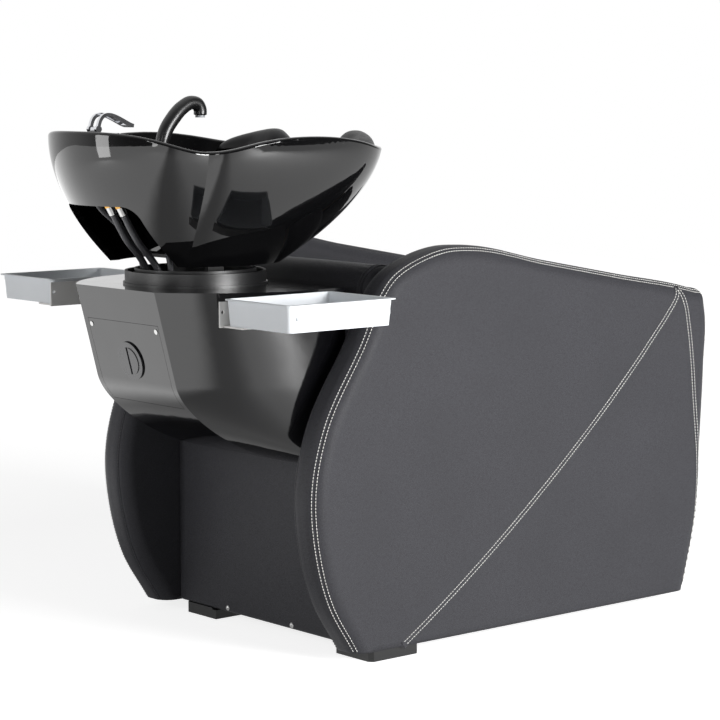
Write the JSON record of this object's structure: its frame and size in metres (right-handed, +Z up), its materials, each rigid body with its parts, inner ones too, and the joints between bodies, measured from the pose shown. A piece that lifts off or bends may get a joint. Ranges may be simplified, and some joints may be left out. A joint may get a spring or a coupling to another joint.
{
  "type": "backwash unit",
  "caption": "Salon backwash unit with a tilting black ceramic basin, chrome mixer, hand shower, side trays and an upholstered seat between padded side panels.",
  "frame": {"origin": "on the floor, under the middle of the whole unit's box", "axes": "+X towards the client's feet, +Y to the client's left, +Z up"},
  "size_m": [1.257, 0.86, 0.9703],
  "materials": {
    "leather": "dark grey grained leatherette with white double stitching",
    "plywood": "bare plywood, hidden inside",
    "foot_plastic": "black moulded plastic",
    "frame_steel": "black powder coat",
    "shroud_plastic": "high gloss black moulding",
    "collar_plastic": "satin black",
    "ceramic": "black glaze",
    "gel": "matte dark gel",
    "chrome": "polished chrome",
    "bracket_paint": "white powder coat",
    "steel": "brushed",
    "shower_plastic": "gloss black",
    "spray_plastic": "pale grey spray plate",
    "tray_plastic": "white satin plastic",
    "brass": "plain brass",
    "hose_rubber": "dark braided hose"
  },
  "bodies": {
    "base": {"side_panel_left_pad": "leather", "side_panel_right_pad": "leather", "back_panel": "leather", "seat_cushion": "leather", "backrest_cushion": "leather", "head_roll": "leather", "front_apron": "leather", "side_panel_left_core": "plywood", "side_panel_right_core": "plywood", "seat_deck": "plywood", "backrest_board": "plywood", "rear_foot_left": "foot_plastic", "rear_foot_right": "foot_plastic", "front_foot_left": "foot_plastic", "front_foot_right": "foot_plastic", "base_frame": "frame_steel", "seat_upright_left": "frame_steel", "seat_upright_right": "frame_steel", "tilt_bracket": "frame_steel", "shroud": "shroud_plastic", "access_panel": "shroud_plastic", "lock_escutcheon": "shroud_plastic", "collar_outer_ring": "collar_plastic", "collar_inner_ring": "collar_plastic", "back_panel_caps": "steel", "access_panel_screws": "steel", "tilt_axle": "steel", "tray_bracket_left": "bracket_paint", "tray_bracket_right": "bracket_paint", "tray_pegs_left": "tray_plastic", "tray_pegs_right": "tray_plastic", "waste_pipe": "tray_plastic", "stop_valves": "brass", "supply_hoses": "hose_rubber", "waste_hose": "hose_rubber"},
    "basin": {"basin": "ceramic", "neck_pad": "gel", "mixer_body": "chrome", "mixer_back_nut": "brass", "shower_bush": "collar_plastic", "drain_waste": "chrome", "drain_nut": "collar_plastic", "tilt_saddle": "frame_steel", "copper_tails": "brass", "supply_nuts": "brass", "supply_ferrules": "steel", "shower_hose": "hose_rubber"},
    "mixer_cap": {"mixer_cap": "chrome"},
    "mixer_lever": {"mixer_lever": "chrome"},
    "hand_shower": {"hand_shower": "shower_plastic", "spray_face": "spray_plastic"},
    "strainer": {"strainer": "chrome"},
    "tray_left": {"tray_left": "tray_plastic"},
    "tray_right": {"tray_right": "tray_plastic"},
    "lock": {"lock_barrel": "shroud_plastic", "lock_cam": "steel"}
  },
  "joints": [
    {"name": "basin_tilt", "type": "hinge", "parent": "base", "child": "basin", "pos_m": [-0.3685, 0, 0.65], "axis": [0, 1, 0], "range_deg": [-5, 8], "deforming": ["supply_hoses", "waste_hose", "shower_hose"]},
    {"name": "mixer_turn", "type": "hinge", "parent": "basin", "child": "mixer_cap", "pos_m": [-0.5525, 0, 0.905], "axis": [0, 0, 1], "range_deg": [-40, 40]},
    {"name": "lever_lift", "type": "hinge", "parent": "mixer_cap", "child": "mixer_lever", "pos_m": [-0.5785, 0, 0.91775], "axis": [0, -1, 0], "range_deg": [0, 22]},
    {"name": "shower_lift", "type": "slide", "parent": "basin", "child": "hand_shower", "axis": [0.2079, 0, 0.9781], "range_m": [0, 0.12]},
    {"name": "strainer_lift", "type": "slide", "parent": "basin", "child": "strainer", "axis": [0, 0, 1], "range_m": [0, 0.05]},
    {"name": "tray_left_lift", "type": "slide", "parent": "base", "child": "tray_left", "axis": [0, 0, 1], "range_m": [0, 0.08]},
    {"name": "tray_right_lift", "type": "slide", "parent": "base", "child": "tray_right", "axis": [0, 0, 1], "range_m": [0, 0.08]},
    {"name": "lock_turn", "type": "hinge", "parent": "base", "child": "lock", "pos_m": [-0.50747, 0, 0.519], "axis": [-0.9659, 0, -0.2588], "range_deg": [0, 90]}
  ]
}
